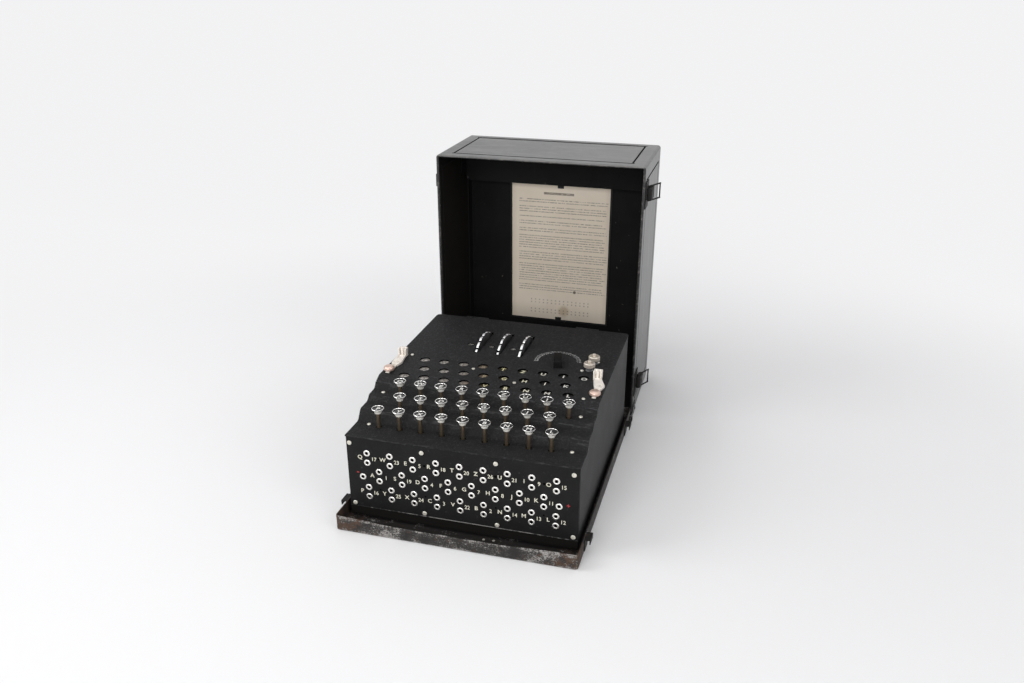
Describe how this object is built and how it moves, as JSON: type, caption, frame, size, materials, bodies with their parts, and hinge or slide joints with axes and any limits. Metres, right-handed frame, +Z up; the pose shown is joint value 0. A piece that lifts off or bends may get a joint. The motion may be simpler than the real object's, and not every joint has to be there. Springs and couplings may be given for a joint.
{
  "type": "rotor cipher machine",
  "caption": "Portable rotor cipher machine in an open metal case: stepped keyboard, lamp windows, rotors, plug panel and a hinged hood with a card.",
  "frame": {"origin": "centre of the tray's underside, on the surface it stands on", "axes": "+Z up, +Y from the plug panel to the standing hood, +X to the operator's right"},
  "size_m": [0.303, 0.4965, 0.3435],
  "materials": {
    "crackle_black": "black crackle paint",
    "smooth_black": "smooth black paint",
    "housing_grey": "satin dark grey paint",
    "case_black": "worn satin black paint",
    "tray_paint": "chipped black paint over steel with rust",
    "dark_steel": "blackened steel",
    "nickel": "dull nickel plate",
    "key_metal": "browned brass stem with a nickel ring",
    "bright_steel": "bright steel rim, grey sides",
    "copper": "worn coppery nickel",
    "card_paper": "aged cream card",
    "bakelite": "black moulded plastic",
    "board": "brown laminated board",
    "film": "translucent letter film"
  },
  "bodies": {
    "machine": {"base_tray": "tray_paint", "tray_fittings": "dark_steel", "machine_housing": "housing_grey", "plug_panel": "smooth_black", "plug_sockets": "nickel", "keyboard_cover": "crackle_black", "key_contact_bank": "board", "lamp_board": "board", "rotor_frame": "dark_steel", "rotor_spindle": "bright_steel", "fixed_wheels": "bakelite"},
    "hood": {"case_hood": "case_black", "instruction_card": "card_paper", "card_frame": "case_black", "latch_plates": "dark_steel"},
    "inner_cover": {"rotor_cover": "crackle_black", "lamp_mask": "crackle_black", "slot_bars": "crackle_black", "letter_film": "film", "terminals": "nickel"},
    "switch": {"switch_knob": "bakelite"},
    "catch_right": {"cover_catch_right": "nickel"},
    "catch_left": {"cover_catch_left": "nickel"},
    "rotor_right": {"rotor_right": "bright_steel"},
    "rotor_middle": {"rotor_middle": "bright_steel"},
    "rotor_left": {"rotor_left": "bright_steel"},
    "lever_right_rear": {"latch_lever_right_rear": "dark_steel"},
    "bail_right_rear": {"latch_bail_right_rear": "dark_steel"},
    "lever_right_front": {"latch_lever_right_front": "dark_steel"},
    "bail_right_front": {"latch_bail_right_front": "dark_steel"},
    "lever_left_rear": {"latch_lever_left_rear": "dark_steel"},
    "bail_left_rear": {"latch_bail_left_rear": "dark_steel"},
    "lever_left_front": {"latch_lever_left_front": "dark_steel"},
    "bail_left_front": {"latch_bail_left_front": "dark_steel"},
    "key_q": {"key_q": "key_metal"},
    "key_w": {"key_w": "key_metal"},
    "key_e": {"key_e": "key_metal"},
    "key_r": {"key_r": "key_metal"},
    "key_t": {"key_t": "key_metal"},
    "key_z": {"key_z": "key_metal"},
    "key_u": {"key_u": "key_metal"},
    "key_i": {"key_i": "key_metal"},
    "key_o": {"key_o": "key_metal"},
    "key_a": {"key_a": "key_metal"},
    "key_s": {"key_s": "key_metal"},
    "key_d": {"key_d": "key_metal"},
    "key_f": {"key_f": "key_metal"},
    "key_g": {"key_g": "key_metal"},
    "key_h": {"key_h": "key_metal"},
    "key_j": {"key_j": "key_metal"},
    "key_k": {"key_k": "key_metal"},
    "key_p": {"key_p": "key_metal"},
    "key_y": {"key_y": "key_metal"},
    "key_x": {"key_x": "key_metal"},
    "key_c": {"key_c": "key_metal"},
    "key_v": {"key_v": "key_metal"},
    "key_b": {"key_b": "key_metal"},
    "key_n": {"key_n": "key_metal"},
    "key_m": {"key_m": "key_metal"},
    "key_l": {"key_l": "key_metal"}
  },
  "joints": [
    {"name": "hood_hinge", "type": "hinge", "parent": "machine", "child": "hood", "pos_m": [0, 0.16795, 0.0038], "axis": [1, 0, 0], "range_deg": [0, 90]},
    {"name": "cover_hinge", "type": "hinge", "parent": "machine", "child": "inner_cover", "pos_m": [0, 0.15715, 0.1308], "axis": [1, 0, 0], "range_deg": [-95, 0]},
    {"name": "switch_turn", "type": "hinge", "parent": "inner_cover", "child": "switch", "pos_m": [0.0612, 0.04645, 0.138], "axis": [0, 0, 1], "range_deg": [-45, 45]},
    {"name": "catch_right_slide", "type": "slide", "parent": "inner_cover", "child": "catch_right", "axis": [0, 1, 0], "range_m": [0, 0.006]},
    {"name": "catch_left_slide", "type": "slide", "parent": "inner_cover", "child": "catch_left", "axis": [0, 1, 0], "range_m": [0, 0.006]},
    {"name": "rotor_right_turn", "type": "hinge", "parent": "machine", "child": "rotor_right", "pos_m": [0.0124, 0.07935, 0.0908], "axis": [1, 0, 0], "continuous": true},
    {"name": "rotor_middle_turn", "type": "hinge", "parent": "machine", "child": "rotor_middle", "pos_m": [-0.015, 0.07935, 0.0908], "axis": [1, 0, 0], "continuous": true},
    {"name": "rotor_left_turn", "type": "hinge", "parent": "machine", "child": "rotor_left", "pos_m": [-0.0424, 0.07935, 0.0908], "axis": [1, 0, 0], "continuous": true},
    {"name": "lever_right_rear_throw", "type": "hinge", "parent": "hood", "child": "lever_right_rear", "pos_m": [0.1399, 0.19805, 0.045], "axis": [0, 0, 1], "range_deg": [-110, 0]},
    {"name": "bail_right_rear_swing", "type": "hinge", "parent": "lever_right_rear", "child": "bail_right_rear", "pos_m": [0.1394, 0.20305, 0.045], "axis": [0, 0, -1], "range_deg": [-15, 152.7]},
    {"name": "lever_right_front_throw", "type": "hinge", "parent": "hood", "child": "lever_right_front", "pos_m": [0.1399, 0.19805, 0.306], "axis": [0, 0, 1], "range_deg": [-110, 0]},
    {"name": "bail_right_front_swing", "type": "hinge", "parent": "lever_right_front", "child": "bail_right_front", "pos_m": [0.1394, 0.20305, 0.306], "axis": [0, 0, -1], "range_deg": [-15, 152.7]},
    {"name": "lever_left_rear_throw", "type": "hinge", "parent": "hood", "child": "lever_left_rear", "pos_m": [-0.1399, 0.19805, 0.045], "axis": [0, 0, -1], "range_deg": [-110, 0]},
    {"name": "bail_left_rear_swing", "type": "hinge", "parent": "lever_left_rear", "child": "bail_left_rear", "pos_m": [-0.1394, 0.20305, 0.045], "axis": [0, 0, 1], "range_deg": [-15, 152.7]},
    {"name": "lever_left_front_throw", "type": "hinge", "parent": "hood", "child": "lever_left_front", "pos_m": [-0.1399, 0.19805, 0.306], "axis": [0, 0, -1], "range_deg": [-110, 0]},
    {"name": "bail_left_front_swing", "type": "hinge", "parent": "lever_left_front", "child": "bail_left_front", "pos_m": [-0.1394, 0.20305, 0.306], "axis": [0, 0, 1], "range_deg": [-15, 152.7]},
    {"name": "key_q_press", "type": "slide", "parent": "machine", "child": "key_q", "axis": [0, 0, -1], "range_m": [0, 0.006], "stiffness_N_per_m": 120, "springref_m": -0.003},
    {"name": "key_w_press", "type": "slide", "parent": "machine", "child": "key_w", "axis": [0, 0, -1], "range_m": [0, 0.006], "stiffness_N_per_m": 120, "springref_m": -0.003},
    {"name": "key_e_press", "type": "slide", "parent": "machine", "child": "key_e", "axis": [0, 0, -1], "range_m": [0, 0.006], "stiffness_N_per_m": 120, "springref_m": -0.003},
    {"name": "key_r_press", "type": "slide", "parent": "machine", "child": "key_r", "axis": [0, 0, -1], "range_m": [0, 0.006], "stiffness_N_per_m": 120, "springref_m": -0.003},
    {"name": "key_t_press", "type": "slide", "parent": "machine", "child": "key_t", "axis": [0, 0, -1], "range_m": [0, 0.006], "stiffness_N_per_m": 120, "springref_m": -0.003},
    {"name": "key_z_press", "type": "slide", "parent": "machine", "child": "key_z", "axis": [0, 0, -1], "range_m": [0, 0.006], "stiffness_N_per_m": 120, "springref_m": -0.003},
    {"name": "key_u_press", "type": "slide", "parent": "machine", "child": "key_u", "axis": [0, 0, -1], "range_m": [0, 0.006], "stiffness_N_per_m": 120, "springref_m": -0.003},
    {"name": "key_i_press", "type": "slide", "parent": "machine", "child": "key_i", "axis": [0, 0, -1], "range_m": [0, 0.006], "stiffness_N_per_m": 120, "springref_m": -0.003},
    {"name": "key_o_press", "type": "slide", "parent": "machine", "child": "key_o", "axis": [0, 0, -1], "range_m": [0, 0.006], "stiffness_N_per_m": 120, "springref_m": -0.003},
    {"name": "key_a_press", "type": "slide", "parent": "machine", "child": "key_a", "axis": [0, 0, -1], "range_m": [0, 0.006], "stiffness_N_per_m": 120, "springref_m": -0.003},
    {"name": "key_s_press", "type": "slide", "parent": "machine", "child": "key_s", "axis": [0, 0, -1], "range_m": [0, 0.006], "stiffness_N_per_m": 120, "springref_m": -0.003},
    {"name": "key_d_press", "type": "slide", "parent": "machine", "child": "key_d", "axis": [0, 0, -1], "range_m": [0, 0.006], "stiffness_N_per_m": 120, "springref_m": -0.003},
    {"name": "key_f_press", "type": "slide", "parent": "machine", "child": "key_f", "axis": [0, 0, -1], "range_m": [0, 0.006], "stiffness_N_per_m": 120, "springref_m": -0.003},
    {"name": "key_g_press", "type": "slide", "parent": "machine", "child": "key_g", "axis": [0, 0, -1], "range_m": [0, 0.006], "stiffness_N_per_m": 120, "springref_m": -0.003},
    {"name": "key_h_press", "type": "slide", "parent": "machine", "child": "key_h", "axis": [0, 0, -1], "range_m": [0, 0.006], "stiffness_N_per_m": 120, "springref_m": -0.003},
    {"name": "key_j_press", "type": "slide", "parent": "machine", "child": "key_j", "axis": [0, 0, -1], "range_m": [0, 0.006], "stiffness_N_per_m": 120, "springref_m": -0.003},
    {"name": "key_k_press", "type": "slide", "parent": "machine", "child": "key_k", "axis": [0, 0, -1], "range_m": [0, 0.006], "stiffness_N_per_m": 120, "springref_m": -0.003},
    {"name": "key_p_press", "type": "slide", "parent": "machine", "child": "key_p", "axis": [0, 0, -1], "range_m": [0, 0.006], "stiffness_N_per_m": 120, "springref_m": -0.003},
    {"name": "key_y_press", "type": "slide", "parent": "machine", "child": "key_y", "axis": [0, 0, -1], "range_m": [0, 0.006], "stiffness_N_per_m": 120, "springref_m": -0.003},
    {"name": "key_x_press", "type": "slide", "parent": "machine", "child": "key_x", "axis": [0, 0, -1], "range_m": [0, 0.006], "stiffness_N_per_m": 120, "springref_m": -0.003},
    {"name": "key_c_press", "type": "slide", "parent": "machine", "child": "key_c", "axis": [0, 0, -1], "range_m": [0, 0.006], "stiffness_N_per_m": 120, "springref_m": -0.003},
    {"name": "key_v_press", "type": "slide", "parent": "machine", "child": "key_v", "axis": [0, 0, -1], "range_m": [0, 0.006], "stiffness_N_per_m": 120, "springref_m": -0.003},
    {"name": "key_b_press", "type": "slide", "parent": "machine", "child": "key_b", "axis": [0, 0, -1], "range_m": [0, 0.006], "stiffness_N_per_m": 120, "springref_m": -0.003},
    {"name": "key_n_press", "type": "slide", "parent": "machine", "child": "key_n", "axis": [0, 0, -1], "range_m": [0, 0.006], "stiffness_N_per_m": 120, "springref_m": -0.003},
    {"name": "key_m_press", "type": "slide", "parent": "machine", "child": "key_m", "axis": [0, 0, -1], "range_m": [0, 0.006], "stiffness_N_per_m": 120, "springref_m": -0.003},
    {"name": "key_l_press", "type": "slide", "parent": "machine", "child": "key_l", "axis": [0, 0, -1], "range_m": [0, 0.006], "stiffness_N_per_m": 120, "springref_m": -0.003}
  ]
}
